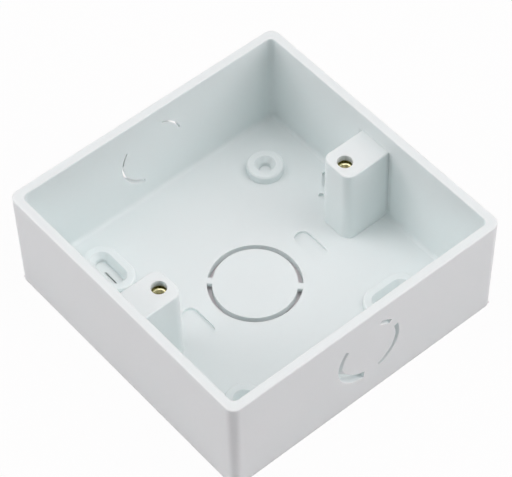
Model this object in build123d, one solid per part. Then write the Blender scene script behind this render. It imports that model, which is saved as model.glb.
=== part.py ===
from build123d import *
import math
import os

# Single-gang surface back box: one moulded white shell, open at the top, with two
# threaded brass inserts moulded into its screw bosses.
# Millimetres. The origin is the middle of the flat base, Z rises to the open rim and
# X runs through both screw bosses.

# Shell
rim_side = 86.0  # outside, across the open rim
outer_draft = 0.45  # how far each outer wall leans in from the rim to the base
box_height = 32.5
floor_thickness = 2.4
rim_wall = 2.5  # wall thickness at the rim
inner_draft = 0.12  # how far each inner wall leans in from the rim to the floor
outer_corner_radius = 2.2  # at the base
inner_corner_radius = 1.5  # at the floor
floor_fillet = 1.4
rim_edge_radius = 0.35

# Screw bosses and their brass inserts
insert_spacing = 60.3  # standard distance between faceplate screws
boss_width = 10.0
boss_draft = 0.4  # how far each side leans out over the height of the boss
boss_nose = 3.55  # from the screw axis to the free end of the boss
boss_corner_radius = 2.6
boss_edge_chamfer = 0.25
boss_below_rim = 5.65
insert_below_boss = 1.9
mouth_diameter = 4.1
insert_diameter = 5.6
insert_length = 9.0
insert_groove_diameter = 4.9
insert_groove_length = 1.4
insert_bore_diameter = 2.9  # minor diameter of an M3.5 thread
insert_chamfer = 0.45
relief_length = 7.0  # room for the screw's end below the insert

# Round knock-out in the floor
floor_knockout_radius = 12.3  # outside of its slot
floor_slot_width = 1.3
floor_web_angles = (135, 315)

# Round cable entries in the two walls without bosses
entry_radius = 9.9  # outside of the slot
entry_from_rim = 14.6
entry_slot_width = 1.3  # at the wall's outer face
entry_disc_growth = 0.85  # how much the disc's radius grows towards the inner face
pry_radius = 12.2  # arc that trims the disc to leave a wider gap for a screwdriver
pry_growth = 1.75
pry_offset = 5.05
pry_direction = 56
front_bridges = ((22, 44), (68, 140), (262, 292))  # from and to angles, seen from -Y
back_bridges = ((68, 146), (172, 177), (252, 378))

# Webs and bridges that hold the knock-outs
web_width = 1.9
web_thickness = 1.3

# Raised pads for the wall screws: two round, two long
fixing_pitch_x = 52.4  # across the centres of the round holes
fixing_pitch_y = 53.4
pad_height = 2.6
pad_width = 9.8
pad_edge_chamfer = 0.35
countersink_width = 5.6
countersink_depth = 1.65
screw_hole_width = 3.4
hole_web_top = 2.1  # every screw hole is closed here by a thin web until it is pierced
hole_web_thickness = 0.8
round_back_width = 4.2  # hole below the web of a round hole
long_back_width = 3.4
slot_travel = 6.2  # how far a screw can slide in a long hole
cross_slot_x = 22.6  # middle of the long hole that runs along X
web_slit_length = 4.6  # narrow slit through the web of a long hole
web_slit_width = 0.45
web_slit_center = (-1.1, 0.4)  # along and across the long hole

# Shallow long recesses beside the bosses, and a moulded tick on the floor
tie_recess_x = 18.8
tie_recess_width = 4.5
tie_recess_length = 10.6
tie_recess_depth = 0.85
tick_start = (37.2, 15.7)
tick_end = (34.4, 12.5)
tick_width = 0.9
tick_dot_center = (31.7, 10.5)
tick_dot_radius = 0.75
tick_depth = 0.8

overlap = 1.0  # how far joined or cut shapes run into or past each other

rim_inside = rim_side - 2 * rim_wall
floor_inside = rim_inside - 2 * inner_draft
clear_height = box_height - floor_thickness
boss_top = box_height - boss_below_rim
insert_top = boss_top - insert_below_boss
insert_bottom = insert_top - insert_length
pad_top = floor_thickness + pad_height


def drafted_block(side, corner_radius, height, lean):
    """A block that widens by lean on every side over its height."""
    taper = math.degrees(math.atan(lean / height))
    return extrude(RectangleRounded(side, side, corner_radius), amount=height, taper=-taper)


def shell():
    outside = drafted_block(rim_side - 2 * outer_draft, outer_corner_radius, box_height, outer_draft)
    cavity = drafted_block(floor_inside, inner_corner_radius, clear_height, inner_draft)
    cavity = fillet(cavity.faces().sort_by(Axis.Z)[0].edges(), floor_fillet)
    hollow = outside - Pos(0, 0, floor_thickness) * cavity
    rim = hollow.faces().sort_by(Axis.Z)[-1]
    return fillet(rim.edges(), rim_edge_radius)


def long_outline(width, travel):
    """A circle, or an obround along X where the screw may travel."""
    if travel == 0:
        return Circle(width / 2)
    return SlotOverall(width + travel, width)


def insert_outline():
    """Half section of the insert's outer form, with a groove that keys it in the plastic."""
    half_length = insert_length / 2
    half_groove = insert_groove_length / 2
    outer = insert_diameter / 2
    groove = insert_groove_diameter / 2
    with BuildLine() as line:
        Polyline(
            (0, half_length),
            (outer, half_length),
            (outer, half_groove),
            (groove, half_groove),
            (groove, -half_groove),
            (outer, -half_groove),
            (outer, -half_length),
            (0, -half_length),
            close=True,
        )
    return Plane.XZ * make_face(line.line)


def insert_blank():
    middle = (insert_top + insert_bottom) / 2
    return Pos(0, 0, middle) * revolve(insert_outline(), axis=Axis.Z)


def brass_insert():
    bore = Pos(0, 0, insert_bottom - overlap) * Cylinder(
        insert_bore_diameter / 2,
        insert_length + 2 * overlap,
        align=(Align.CENTER, Align.CENTER, Align.MIN),
    )
    countersink = Cone(
        insert_bore_diameter / 2,
        insert_bore_diameter / 2 + insert_chamfer,
        insert_chamfer,
        align=(Align.CENTER, Align.CENTER, Align.MAX),
    )
    return insert_blank() - bore - Pos(0, 0, insert_top) * countersink


def boss():
    """Screw boss on the +X wall, drawn about its screw axis, wider at the floor than at its top."""
    wall_face = rim_inside / 2 - insert_spacing / 2
    start = floor_thickness - overlap
    half_top = boss_width / 2
    half_foot = half_top + boss_draft
    with BuildLine() as line:
        Polyline(
            (-half_foot, start),
            (half_foot, start),
            (half_top, boss_top),
            (-half_top, boss_top),
            close=True,
        )
    section = Plane.YZ.offset(-boss_nose) * make_face(line.line)
    block = extrude(section, amount=boss_nose + wall_face + overlap)
    nose_edges = block.faces().sort_by(Axis.X)[0].edges().sort_by(SortBy.LENGTH)[-2:]
    block = fillet(nose_edges, boss_corner_radius)
    return chamfer(block.faces().sort_by(Axis.Z)[-1].edges(), boss_edge_chamfer)


def boss_hole():
    """Mouth, seat of the insert and the blind hole below it."""
    seat = insert_blank()
    mouth = Pos(0, 0, insert_top - overlap) * Cylinder(
        mouth_diameter / 2,
        insert_below_boss + 2 * overlap,
        align=(Align.CENTER, Align.CENTER, Align.MIN),
    )
    relief = Pos(0, 0, insert_bottom + overlap) * Cylinder(
        mouth_diameter / 2,
        relief_length + overlap,
        align=(Align.CENTER, Align.CENTER, Align.MAX),
    )
    return seat + mouth + relief


def web_bars(angles, radius):
    """Radial strips at the given angles, from the centre outwards."""
    strip = Pos(radius, 0) * Rectangle(2 * radius, web_width)
    return Sketch() + [Rot(0, 0, angle) * strip for angle in angles]


def ring_slot(radius, slot_width):
    return Circle(radius) - Circle(radius - slot_width)


def floor_knockout_cut():
    """The slot through the floor; its webs stay as thin bridges at floor level."""
    ring = ring_slot(floor_knockout_radius, floor_slot_width)
    open_ring = ring - web_bars(floor_web_angles, floor_knockout_radius)
    through = Pos(0, 0, -overlap) * extrude(open_ring, amount=floor_thickness + 2 * overlap)
    below_webs = Pos(0, 0, -overlap) * extrude(ring, amount=floor_thickness - web_thickness + overlap)
    return through + below_webs


def tapered_disc(radius, growth):
    """A disc through the wall, from the outer face up, that widens towards the inner face."""
    slope = growth / rim_wall
    disc = Cone(
        radius - slope * overlap,
        radius + slope * (rim_wall + overlap),
        rim_wall + 2 * overlap,
        align=(Align.CENTER, Align.CENTER, Align.MIN),
    )
    return Pos(0, 0, -overlap) * disc


def entry_gap():
    """The slot round an entry's disc, wider outside, with a broad part at its lower edge."""
    shift_x = pry_offset * math.cos(math.radians(pry_direction))
    shift_y = pry_offset * math.sin(math.radians(pry_direction))
    disc = tapered_disc(entry_radius - entry_slot_width, entry_disc_growth)
    disc = disc & Pos(shift_x, shift_y) * tapered_disc(pry_radius, pry_growth)
    opening = Cylinder(
        entry_radius, rim_wall + 2 * overlap, align=(Align.CENTER, Align.CENTER, Align.MIN)
    )
    return Pos(0, 0, -overlap) * opening - disc


def sector(start, end):
    """A fan from the middle of an entry that reaches past its slot."""
    reach = 1.3 * entry_radius
    rim_points = []
    for angle in (start, (start + end) / 2, end):
        turn = math.radians(angle)
        rim_points.append((reach * math.cos(turn), reach * math.sin(turn)))
    with BuildLine() as line:
        Polyline((0, 0), *rim_points, close=True)
    return make_face(line.line)


def entry_cut(bridges, bridge_start):
    """The slot without its bridges, which begin at the given depth from the outer face."""
    cut = entry_gap()
    for start, end in bridges:
        bridge = extrude(sector(start, end), amount=web_thickness + overlap)
        cut -= Pos(0, 0, bridge_start) * bridge
    return cut


def entry_plane(side):
    """Outer face of the wall on the given side of Y, looked at from -Y."""
    middle = box_height - entry_from_rim
    outer_face = rim_side / 2 - outer_draft * entry_from_rim / box_height
    return Plane(origin=(0, side * outer_face, middle), x_dir=(1, 0, 0), z_dir=(0, -1, 0))


def front_entry_cut():
    """Bridges flush with the outer face."""
    return entry_plane(-1) * mirror(entry_cut(front_bridges, -overlap), about=Plane.XY)


def back_entry_cut():
    """Bridges flush with the inner face."""
    return entry_plane(1) * entry_cut(back_bridges, rim_wall - web_thickness)


def pad(travel):
    body = extrude(long_outline(pad_width, travel), amount=pad_height + overlap)
    top_edges = body.faces().sort_by(Axis.Z)[-1].edges()
    return Pos(0, 0, floor_thickness - overlap) * chamfer(top_edges, pad_edge_chamfer)


def pad_hole(travel):
    """Countersunk hole, the hole below its web and, in a long hole, the slit through the web."""
    lean = math.degrees(math.atan((countersink_width - screw_hole_width) / 2 / countersink_depth))
    sink = extrude(long_outline(screw_hole_width, travel), amount=countersink_depth, taper=-lean)
    shaft_height = pad_top - countersink_depth - hole_web_top + overlap / 2
    shaft = extrude(long_outline(screw_hole_width, travel), amount=shaft_height)
    hole = Pos(0, 0, pad_top - countersink_depth) * sink + Pos(0, 0, hole_web_top) * shaft
    back_width = long_back_width if travel else round_back_width
    back_depth = hole_web_top - hole_web_thickness
    hole += Pos(0, 0, -overlap) * extrude(long_outline(back_width, travel), amount=back_depth + overlap)
    if travel:
        slit = Pos(*web_slit_center) * SlotOverall(web_slit_length, web_slit_width)
        hole += extrude(slit, amount=hole_web_top + overlap / 2)
    return hole


def fixings(make):
    """The four wall fixings, each made by make(travel) at its place."""
    half_x = fixing_pitch_x / 2
    half_y = fixing_pitch_y / 2
    return [
        Pos(half_x, half_y) * make(0),
        Pos(-half_x, -half_y) * make(0),
        Pos(-half_x, half_y) * Rot(0, 0, 90) * make(slot_travel),
        Pos(cross_slot_x, -half_y) * make(slot_travel),
    ]


def tie_recess():
    outline = SlotOverall(tie_recess_length, tie_recess_width, rotation=90)
    return Pos(0, 0, floor_thickness - tie_recess_depth) * extrude(outline, amount=overlap)


def moulded_tick():
    """A short stroke and a dot, sunk in the floor."""
    rise = (tick_end[0] - tick_start[0], tick_end[1] - tick_start[1])
    middle = ((tick_start[0] + tick_end[0]) / 2, (tick_start[1] + tick_end[1]) / 2)
    length = math.hypot(*rise) + tick_width
    turn = math.degrees(math.atan2(rise[1], rise[0]))
    stroke = Pos(*middle) * SlotOverall(length, tick_width, rotation=turn)
    dot = Pos(*tick_dot_center) * Circle(tick_dot_radius)
    return Pos(0, 0, floor_thickness - tick_depth) * extrude(stroke + dot, amount=overlap)


def both_bosses(shape):
    """The shape at the +X screw axis and, turned half round, at the -X one."""
    right = Pos(insert_spacing / 2, 0, 0) * shape
    return [Rot(0, 0, 180) * right, right]


def box_body():
    body = shell()
    body += both_bosses(boss())
    body += fixings(pad)
    body -= both_bosses(boss_hole())
    body -= fixings(pad_hole)
    body -= floor_knockout_cut()
    body -= front_entry_cut()
    body -= back_entry_cut()
    body -= [Pos(side * tie_recess_x, 0, 0) * tie_recess() for side in (-1, 1)]
    return body - moulded_tick()


left_insert, right_insert = both_bosses(brass_insert())
parts = {
    "box_body": box_body(),
    "left_brass_insert": left_insert,
    "right_brass_insert": right_insert,
}

os.makedirs("parts", exist_ok=True)
for name, part in parts.items():
    export_step(part, f"parts/{name}.step")
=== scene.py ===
import math

import bmesh
import bpy
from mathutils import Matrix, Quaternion, Vector


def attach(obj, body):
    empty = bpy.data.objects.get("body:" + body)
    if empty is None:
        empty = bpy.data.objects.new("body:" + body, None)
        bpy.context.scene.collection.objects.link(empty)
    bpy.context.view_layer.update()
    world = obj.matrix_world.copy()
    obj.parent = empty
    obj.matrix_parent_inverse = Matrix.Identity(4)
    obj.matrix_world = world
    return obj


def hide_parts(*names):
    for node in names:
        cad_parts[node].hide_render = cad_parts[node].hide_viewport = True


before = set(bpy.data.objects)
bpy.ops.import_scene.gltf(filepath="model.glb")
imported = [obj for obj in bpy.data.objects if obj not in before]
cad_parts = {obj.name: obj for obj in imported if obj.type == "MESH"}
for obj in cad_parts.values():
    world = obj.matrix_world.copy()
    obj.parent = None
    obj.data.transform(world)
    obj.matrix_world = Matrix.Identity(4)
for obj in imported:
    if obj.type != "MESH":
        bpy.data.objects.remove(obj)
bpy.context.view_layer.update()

# A white surface back box with two brass inserts, standing on its base on a pale table.
# Metres. The box's base is at z = 0 and its screw bosses lie along X.

MM = 0.001

# Camera, with its angles in degrees
AIM = Vector((2.75, 2.60, 16.0)) * MM  # the point in the middle of the picture
CAMERA_DISTANCE = 0.6168
CAMERA_AZIMUTH = 39.42  # to the left of the front
CAMERA_ELEVATION = 52.00
CAMERA_ROLL = -1.245
CAMERA_CLIP_START = 10.0 * MM
LENS = 172.65  # this and the sensor's width are in millimetres
SENSOR_WIDTH = 36.0

# White plastic. A noise is given as its features per metre and its detail, a bump as its
# strength and height, and a tone as the two colours it drifts between.
WHITE = ((0.795, 0.867, 0.867, 1.0), (0.805, 0.877, 0.877, 1.0))
WHITE_DRIFT = (38.0, 3.0)
PLASTIC_SHEEN = (90.0, 4.0)
PLASTIC_ROUGHNESS = (0.46, 0.58)
PLASTIC_IOR = 1.49
PLASTIC_SPECULAR = 0.5
SOFT_LIGHT = 0.8  # share of the light that spreads under the surface
SOFT_LIGHT_REACH = 1.0 * MM
SOFT_LIGHT_BY_COLOUR = (1.0, 1.0, 1.0)  # shares of that reach for red, green and blue
GRAIN = (2600.0, 2.0)
GRAIN_BUMP = (0.08, 0.02 * MM)
SURFACE_WAVES = (60.0, 1.0)
SURFACE_WAVES_BUMP = (0.05, 0.5 * MM)

# Painted shade in the corners between the bosses and their walls, as a darker white: spans in X,
# Y and Z, where X and Y stand for both sides of the middle
CORNER_SHADE_WHITE = (0.735, 0.80, 0.80, 1.0)
CORNER_SHADE_SPANS = ((39.8 * MM, 42.0 * MM), (4.0 * MM, 6.4 * MM), (4.2 * MM, 26.6 * MM))
CORNER_SHADE_EDGE = 0.4 * MM  # how softly it ends

# Turned brass, toned by height: a painted highlight on the seat, painted shade in the counterbore and a
# plain tone in the thread
SEAT_HIGHLIGHT_BRASS = ((0.46, 0.45, 0.28, 1.0), (0.55, 0.54, 0.35, 1.0))
THREAD_BRASS = ((0.40, 0.36, 0.18, 1.0), (0.50, 0.46, 0.25, 1.0))
COUNTERBORE_SHADE_BRASS = ((0.21, 0.20, 0.085, 1.0), (0.29, 0.28, 0.13, 1.0))
BRASS_DRIFT = (900.0, 3.0)
BRASS_SHEEN = (1500.0, 2.0)
BRASS_ROUGHNESS = (0.20, 0.32)
TURNING_MARKS = 2500.0  # scale of the bands, which gives about 8 in a millimetre
TURNING_MARKS_WANDER = 1.5
TURNING_MARKS_BUMP = (0.15, 0.01 * MM)

# Threaded inserts
INSERT_X = 30.15 * MM  # distance of each screw axis from the middle
INSERT_TOP = 24.95 * MM
INSERT_BOTTOM = 15.95 * MM
INSERT_RADIUS = 2.8 * MM
GROOVE_RADIUS = 2.45 * MM
GROOVE_HALF_LENGTH = 0.7 * MM
THREAD_MAJOR_RADIUS = 1.75 * MM
THREAD_MINOR_RADIUS = 1.45 * MM
THREAD_PITCH = 0.6 * MM
THREAD_FLANK = (0.14, 0.86)  # where the flank starts and ends, from crest to root
COUNTERBORE_RADIUS = 1.92 * MM
COUNTERBORE_DEPTH = 0.95 * MM
SEAT_DROP = 0.10 * MM  # how far the counterbore's floor falls towards the thread
SEAT_TOP = INSERT_TOP - COUNTERBORE_DEPTH
THREAD_TOP = SEAT_TOP - SEAT_DROP
SEAT_HIGHLIGHT_DOWN_TO = SEAT_TOP - 1.5 * SEAT_DROP
SEAT_HIGHLIGHT_EDGE = 0.04 * MM  # how softly the seat's bright tone ends
KNURL_TEETH = 30.0
KNURL_DEPTH = 0.18 * MM
KNURLED_FROM = 0.99  # share of the outside radius that only the knurled faces reach
SOLID_FROM = 0.8  # share of the outside radius that the bore stays under
ROUND_STEPS = 120  # points round an insert
STEPS_PER_PITCH = 8
SHARP_EDGE = 35.0  # degrees between two faces

# What the cutting tree takes, by the names of its inputs
CUT_SIZES = {
    "Pitch": THREAD_PITCH,
    "Minor Radius": THREAD_MINOR_RADIUS,
    "Major Radius": THREAD_MAJOR_RADIUS,
    "Knurl Teeth": KNURL_TEETH,
    "Knurl Depth": KNURL_DEPTH,
    "Outside Radius": INSERT_RADIUS,
}

# Table
TABLE_SIZE = 6.0
TABLE_DROP = 0.1 * MM  # how far it lies under the box's base
TABLE_COLOUR = (0.82, 0.79, 0.805, 1.0)
TABLE_WHITE = 0.95  # share of plain white in the table as the camera sees it
FOOTPRINT = 42.2 * MM  # half side of the table area that the box stands on

# Light: soft square panels, each given as turn from +X, height in degrees and power in watts
PANEL_DISTANCE = 1.0
PANEL_SIZE = 0.6
PANEL_COLOUR = (1.0, 0.93, 0.94)
PANELS = {
    "panel_above": (0, 90, 1.95),
    "panel_back_left_high": (135, 60, 2.36),
    "panel_front_right_high": (315, 60, 2.73),
    "panel_front_high": (270, 60, 0.38),
    "panel_front_low": (270, 28, 0.40),
    "panel_left_low": (180, 28, 1.00),
    "panel_front_right_low": (315, 28, 3.55),
    "panel_back_left_low": (135, 28, 3.23),
    "panel_back_right_low": (45, 28, 0.56),
}


def add_node(tree, kind, inputs=None, **settings):
    """A node with its settings, and with its inputs set to plain values or linked to sockets."""
    node = tree.nodes.new(kind)
    for name, value in settings.items():
        setattr(node, name, value)
    for key, value in (inputs or {}).items():
        if isinstance(value, bpy.types.NodeSocket):
            tree.links.new(value, node.inputs[key])
        else:
            node.inputs[key].default_value = value
    return node


def node_material(name):
    """An empty material with nodes, and the place on the piece that its patterns follow."""
    material = bpy.data.materials.new(name)
    material.use_nodes = True
    tree = material.node_tree
    tree.nodes.clear()
    place = add_node(tree, "ShaderNodeTexCoord").outputs["Object"]
    return material, tree, place


def calc(tree, operation, *values):
    """One step of arithmetic on sockets and numbers."""
    node = add_node(tree, "ShaderNodeMath", dict(enumerate(values)), operation=operation)
    return node.outputs[0]


def noise(tree, place, scale, detail):
    """Noise that is fixed to the piece, at a scale in features per metre."""
    inputs = {"Vector": place, "Scale": scale, "Detail": detail}
    return add_node(tree, "ShaderNodeTexNoise", inputs).outputs["Fac"]


def mapped(tree, value, low, high, interpolation="LINEAR", start=0.0, end=1.0):
    """Maps a value's range from start to end onto the range from low to high."""
    inputs = {"Value": value, "From Min": start, "From Max": end, "To Min": low, "To Max": high}
    node = add_node(tree, "ShaderNodeMapRange", inputs, interpolation_type=interpolation)
    return node.outputs["Result"]


def blended(tree, share, first, second, kind="RGBA"):
    """Blends two colours by a 0 to 1 value, or two numbers where the kind is FLOAT."""
    node = add_node(tree, "ShaderNodeMix", {0: share}, data_type=kind)
    socket_type = "VALUE" if kind == "FLOAT" else kind
    ends = [socket for socket in node.inputs[1:] if socket.type == socket_type]
    for socket, value in zip(ends, (first, second)):
        if isinstance(value, bpy.types.NodeSocket):
            tree.links.new(value, socket)
        else:
            socket.default_value = value
    return next(socket for socket in node.outputs if socket.type == socket_type)


def bumped(tree, pattern, strength, height, normal=None):
    """The surface's normal, bumped by a pattern on top of another bump where there is one."""
    inputs = {"Strength": strength, "Distance": height, "Height": pattern}
    if normal is not None:
        inputs["Normal"] = normal
    return add_node(tree, "ShaderNodeBump", inputs).outputs["Normal"]


def x_y_z(tree, place):
    """The three lengths that make up a place."""
    return add_node(tree, "ShaderNodeSeparateXYZ", {0: place}).outputs


def inside_span(tree, value, low, high, soft):
    """1 where a length in metres lies between low and high, with a soft step at each end."""
    rise = mapped(tree, value, 0.0, 1.0, "SMOOTHSTEP", low - soft, low + soft)
    fall = mapped(tree, value, 0.0, 1.0, "SMOOTHSTEP", high + soft, high - soft)
    return calc(tree, "MULTIPLY", rise, fall)


def mixed_shader(tree, share, first, second):
    """Two shaders mixed by a 0 to 1 value."""
    inputs = {0: share, 1: first.outputs[0], 2: second.outputs[0]}
    return add_node(tree, "ShaderNodeMixShader", inputs).outputs["Shader"]


def moulded_white_plastic():
    """Smooth white plastic with a faint moulded grain, slow changes of tone and painted shade in the
    corners beside the bosses.
    """
    material, tree, place = node_material("moulded_white_plastic")

    across, along, up = x_y_z(tree, place)
    lengths = (calc(tree, "ABSOLUTE", across), calc(tree, "ABSOLUTE", along), up)
    # Painted shade: a darker white in the corners between the bosses and their walls
    corner_shade = 1.0
    for length, (low, high) in zip(lengths, CORNER_SHADE_SPANS):
        corner_shade = calc(tree, "MULTIPLY", corner_shade, inside_span(tree, length, low, high, CORNER_SHADE_EDGE))
    tone = blended(tree, noise(tree, place, *WHITE_DRIFT), *WHITE)

    grained = bumped(tree, noise(tree, place, *GRAIN), *GRAIN_BUMP)
    plastic = add_node(tree, "ShaderNodeBsdfPrincipled", {
        "Base Color": blended(tree, corner_shade, tone, CORNER_SHADE_WHITE),
        "Roughness": mapped(tree, noise(tree, place, *PLASTIC_SHEEN), *PLASTIC_ROUGHNESS),
        "IOR": PLASTIC_IOR,
        "Specular IOR Level": PLASTIC_SPECULAR,
        "Subsurface Weight": SOFT_LIGHT,
        "Subsurface Radius": SOFT_LIGHT_BY_COLOUR,
        "Subsurface Scale": SOFT_LIGHT_REACH,
        "Normal": bumped(tree, noise(tree, place, *SURFACE_WAVES), *SURFACE_WAVES_BUMP, grained),
    })
    add_node(tree, "ShaderNodeOutputMaterial", {"Surface": plastic.outputs["BSDF"]})
    return material


def turned_brass():
    """Brass with fine turning marks: a painted highlight on the seat, a plain tone in the thread and
    painted shade in the counterbore.
    """
    material, tree, place = node_material("turned_brass")

    drift = noise(tree, place, *BRASS_DRIFT)
    # Tones by height: painted highlight on the seat, painted shade in the counterbore, plain brass in the
    # thread
    bright = blended(tree, drift, *SEAT_HIGHLIGHT_BRASS)
    thread_tone = blended(tree, drift, *THREAD_BRASS)
    counterbore_shade = blended(tree, drift, *COUNTERBORE_SHADE_BRASS)
    up = x_y_z(tree, place)["Z"]
    in_thread = inside_span(tree, up, 0.0, SEAT_HIGHLIGHT_DOWN_TO, SEAT_HIGHLIGHT_EDGE)
    on_seat = inside_span(tree, up, SEAT_HIGHLIGHT_DOWN_TO, SEAT_TOP, SEAT_HIGHLIGHT_EDGE)
    tone = blended(tree, in_thread, counterbore_shade, thread_tone)

    inputs = {"Vector": place, "Scale": TURNING_MARKS, "Distortion": TURNING_MARKS_WANDER}
    marks = add_node(tree, "ShaderNodeTexWave", inputs, wave_type="BANDS", bands_direction="Z")
    brass = add_node(tree, "ShaderNodeBsdfPrincipled", {
        "Base Color": blended(tree, on_seat, tone, bright),
        "Metallic": 1.0,
        "Roughness": mapped(tree, noise(tree, place, *BRASS_SHEEN), *BRASS_ROUGHNESS),
        "Normal": bumped(tree, marks.outputs["Fac"], *TURNING_MARKS_BUMP),
    })
    add_node(tree, "ShaderNodeOutputMaterial", {"Surface": brass.outputs["BSDF"]})
    return material


def dress(node, material):
    """Gives a carried-over node its finish."""
    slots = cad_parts[node].data.materials
    slots.clear()
    slots.append(material)


def insert_section():
    """Closed half section of an insert as (radius, height), down the bore and up the outside."""
    bore_steps = round((THREAD_TOP - INSERT_BOTTOM) / THREAD_PITCH * STEPS_PER_PITCH)
    drop = (THREAD_TOP - INSERT_BOTTOM) / bore_steps
    bore = [(THREAD_MINOR_RADIUS, THREAD_TOP - drop * i) for i in range(bore_steps + 1)]
    middle = (INSERT_TOP + INSERT_BOTTOM) / 2
    groove_low = middle - GROOVE_HALF_LENGTH
    groove_high = middle + GROOVE_HALF_LENGTH
    return [
        (COUNTERBORE_RADIUS, INSERT_TOP),
        (COUNTERBORE_RADIUS, SEAT_TOP),
        *bore,
        (INSERT_RADIUS, INSERT_BOTTOM),
        (INSERT_RADIUS, groove_low),
        (GROOVE_RADIUS, groove_low),
        (GROOVE_RADIUS, groove_high),
        (INSERT_RADIUS, groove_high),
        (INSERT_RADIUS, INSERT_TOP),
    ]


def insert_blank(name, axis_x):
    """The insert turned from its section, before its thread and knurl are cut."""
    section = insert_section()
    mesh = bmesh.new()
    rings = []
    for step in range(ROUND_STEPS):
        angle = 2 * math.pi * step / ROUND_STEPS
        ring = []
        for radius, height in section:
            place = (axis_x + radius * math.cos(angle), radius * math.sin(angle), height)
            ring.append(mesh.verts.new(place))
        rings.append(ring)
    for ring, following in zip(rings, rings[1:] + rings[:1]):
        for i in range(len(section)):
            j = (i + 1) % len(section)
            mesh.faces.new((ring[i], ring[j], following[j], following[i]))
    bmesh.ops.recalc_face_normals(mesh, faces=mesh.faces)
    data = bpy.data.meshes.new(name)
    mesh.to_mesh(data)
    mesh.free()
    blank = bpy.data.objects.new(name, data)
    bpy.context.collection.objects.link(blank)
    return blank


def zigzag(tree, value):
    """Falls from 1 to 0 and rises again between one whole number and the next."""
    share = calc(tree, "FRACT", value)
    return calc(tree, "ABSOLUTE", calc(tree, "SUBTRACT", calc(tree, "MULTIPLY", share, 2.0), 1.0))


def cut_thread_and_knurl():
    """Node tree that cuts a screw thread into a turned blank's bore and a knurl into its outside."""
    tree = bpy.data.node_groups.new("thread_and_knurl", "GeometryNodeTree")
    tree.interface.new_socket(name="Blank", in_out="INPUT", socket_type="NodeSocketGeometry")
    for name in ("Axis X", *CUT_SIZES):
        tree.interface.new_socket(name=name, in_out="INPUT", socket_type="NodeSocketFloat")
    tree.interface.new_socket(name="Brass", in_out="INPUT", socket_type="NodeSocketMaterial")
    tree.interface.new_socket(name="Insert", in_out="OUTPUT", socket_type="NodeSocketGeometry")
    given = add_node(tree, "NodeGroupInput").outputs

    place = add_node(tree, "GeometryNodeInputPosition").outputs[0]
    across, along, height = x_y_z(tree, place)
    across = calc(tree, "SUBTRACT", across, given["Axis X"])
    square = calc(tree, "ADD", calc(tree, "MULTIPLY", across, across), calc(tree, "MULTIPLY", along, along))
    radius = calc(tree, "SQRT", square)
    turn = calc(tree, "DIVIDE", calc(tree, "ARCTAN2", along, across), 2 * math.pi)

    # Thread: a wave along the height that climbs one pitch in one turn, flat at its crest and root
    climb = calc(tree, "SUBTRACT", calc(tree, "DIVIDE", height, given["Pitch"]), turn)
    flank_start, flank_end = THREAD_FLANK
    flank = mapped(tree, zigzag(tree, climb), 0.0, 1.0, start=flank_start, end=flank_end)
    depth = calc(tree, "SUBTRACT", given["Major Radius"], given["Minor Radius"])
    thread = calc(tree, "ADD", given["Minor Radius"], calc(tree, "MULTIPLY", flank, depth))
    bore = calc(tree, "MAXIMUM", radius, thread)

    # Knurl: straight grooves round the outside
    groove = zigzag(tree, calc(tree, "MULTIPLY", turn, given["Knurl Teeth"]))
    knurled = calc(tree, "SUBTRACT", radius, calc(tree, "MULTIPLY", groove, given["Knurl Depth"]))
    knurl_limit = calc(tree, "MULTIPLY", given["Outside Radius"], KNURLED_FROM)
    solid_limit = calc(tree, "MULTIPLY", given["Outside Radius"], SOLID_FROM)
    at_knurl = calc(tree, "GREATER_THAN", radius, knurl_limit)
    outside = calc(tree, "GREATER_THAN", radius, solid_limit)

    shell = blended(tree, at_knurl, radius, knurled, "FLOAT")
    new_radius = blended(tree, outside, bore, shell, "FLOAT")
    stretch = calc(tree, "DIVIDE", new_radius, radius)
    new_place = add_node(tree, "ShaderNodeCombineXYZ", {
        "X": calc(tree, "ADD", calc(tree, "MULTIPLY", across, stretch), given["Axis X"]),
        "Y": calc(tree, "MULTIPLY", along, stretch),
        "Z": height,
    })
    inputs = {"Geometry": given["Blank"], "Position": new_place.outputs[0]}
    moved = add_node(tree, "GeometryNodeSetPosition", inputs)
    real = add_node(tree, "GeometryNodeRealizeInstances", {"Geometry": moved.outputs[0]})
    inputs = {"Geometry": real.outputs[0], "Material": given["Brass"]}
    brassy = add_node(tree, "GeometryNodeSetMaterial", inputs)
    add_node(tree, "NodeGroupOutput", {"Insert": brassy.outputs[0]})
    return tree


def threaded_insert(name, node, side, tree, brass):
    """A brass insert with a real thread and knurl, in the place of its plain CAD node."""
    blank = insert_blank(name + "_blank", side * INSERT_X)
    cutter = blank.modifiers.new("thread_and_knurl", "NODES")
    cutter.node_group = tree
    values = {"Axis X": side * INSERT_X, **CUT_SIZES, "Brass": brass}
    for socket in tree.interface.items_tree:
        if socket.name in values:
            cutter[socket.identifier] = values[socket.name]
    evaluated = blank.evaluated_get(bpy.context.evaluated_depsgraph_get())
    mesh = bpy.data.meshes.new_from_object(evaluated)
    bpy.data.objects.remove(blank)
    mesh.name = name
    mesh.shade_smooth()
    mesh.set_sharp_from_angle(angle=math.radians(SHARP_EDGE))
    insert = bpy.data.objects.new(name, mesh)
    bpy.context.collection.objects.link(insert)
    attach(insert, "root")
    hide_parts(node)


def seen_directly(tree):
    """1 for rays that carry a picture of the backdrop: from the camera, off gloss or through glass."""
    path = add_node(tree, "ShaderNodeLightPath").outputs
    camera_or_gloss = calc(tree, "MAXIMUM", path["Is Camera Ray"], path["Is Glossy Ray"])
    return calc(tree, "MAXIMUM", camera_or_gloss, path["Is Transmission Ray"])


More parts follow.
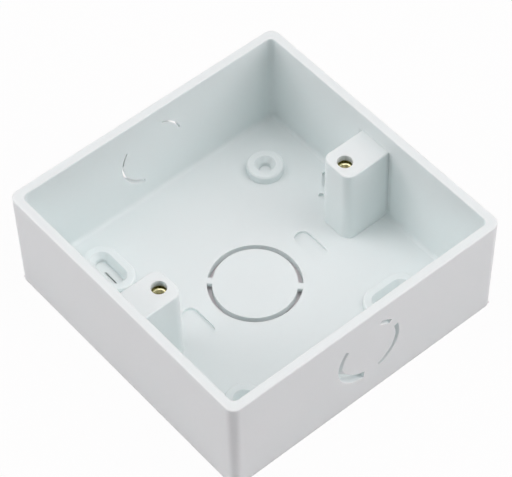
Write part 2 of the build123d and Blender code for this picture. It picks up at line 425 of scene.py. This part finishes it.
def table_top():
    """Pale table: almost white where it is seen, with a trace of the box's soft shadow kept on it."""
    material, tree, place = node_material("pale_table")
    outside = []
    for length in x_y_z(tree, place)[:2]:
        distance = calc(tree, "ABSOLUTE", length)
        outside.append(calc(tree, "GREATER_THAN", distance, FOOTPRINT))
    clear_of_box = calc(tree, "MAXIMUM", *outside)
    share = calc(tree, "MULTIPLY", seen_directly(tree), clear_of_box)
    whiter = calc(tree, "MULTIPLY", share, TABLE_WHITE)

    matt = add_node(tree, "ShaderNodeBsdfDiffuse", {"Color": TABLE_COLOUR})
    white = add_node(tree, "ShaderNodeEmission", {"Strength": 1.0})
    shader = mixed_shader(tree, whiter, matt, white)
    add_node(tree, "ShaderNodeOutputMaterial", {"Surface": shader})

    bpy.ops.mesh.primitive_plane_add(size=TABLE_SIZE, location=(0, 0, -TABLE_DROP))
    table = bpy.context.object
    table.name = "table_top"
    table.data.materials.append(material)


def studio_light():
    """Soft panels above and beside the box, and a white backdrop that is seen but gives no light."""
    world = bpy.data.worlds.new("white_studio")
    bpy.context.scene.world = world
    world.use_nodes = True
    tree = world.node_tree
    tree.nodes.clear()
    room = add_node(tree, "ShaderNodeBackground", {"Strength": 0.0})
    backdrop = add_node(tree, "ShaderNodeBackground", {"Strength": 1.0})
    shader = mixed_shader(tree, seen_directly(tree), room, backdrop)
    add_node(tree, "ShaderNodeOutputWorld", {"Surface": shader})

    for name, (turn, height, power) in PANELS.items():
        turn = math.radians(turn)
        height = math.radians(height)
        place = Vector((
            math.cos(height) * math.cos(turn),
            math.cos(height) * math.sin(turn),
            math.sin(height),
        )) * PANEL_DISTANCE
        light = bpy.data.lights.new(name, "AREA")
        light.size = PANEL_SIZE
        light.energy = power
        light.color = PANEL_COLOUR
        panel = bpy.data.objects.new(name, light)
        panel.location = place
        panel.rotation_euler = (-place).to_track_quat("-Z", "Y").to_euler()
        bpy.context.collection.objects.link(panel)


def camera():
    """Camera at the photo's viewing angle."""
    azimuth = math.radians(CAMERA_AZIMUTH)
    elevation = math.radians(CAMERA_ELEVATION)
    back = Vector((
        -math.sin(azimuth) * math.cos(elevation),
        -math.cos(azimuth) * math.cos(elevation),
        math.sin(elevation),
    ))
    lens = bpy.data.cameras.new("photo_camera")
    lens.lens = LENS
    lens.sensor_width = SENSOR_WIDTH
    lens.sensor_fit = "HORIZONTAL"
    lens.clip_start = CAMERA_CLIP_START
    view = bpy.data.objects.new("photo_camera", lens)
    view.location = AIM + back * CAMERA_DISTANCE
    roll = Quaternion((0, 0, 1), math.radians(CAMERA_ROLL))
    view.rotation_euler = ((-back).to_track_quat("-Z", "Y") @ roll).to_euler()
    bpy.context.collection.objects.link(view)
    bpy.context.scene.camera = view


bpy.context.scene.view_settings.view_transform = "Standard"
plastic = moulded_white_plastic()
brass = turned_brass()
dress("box_body", plastic)
cut = cut_thread_and_knurl()
threaded_insert("left_threaded_insert", "left_brass_insert", -1, cut, brass)
threaded_insert("right_threaded_insert", "right_brass_insert", 1, cut, brass)
table_top()
studio_light()
camera()
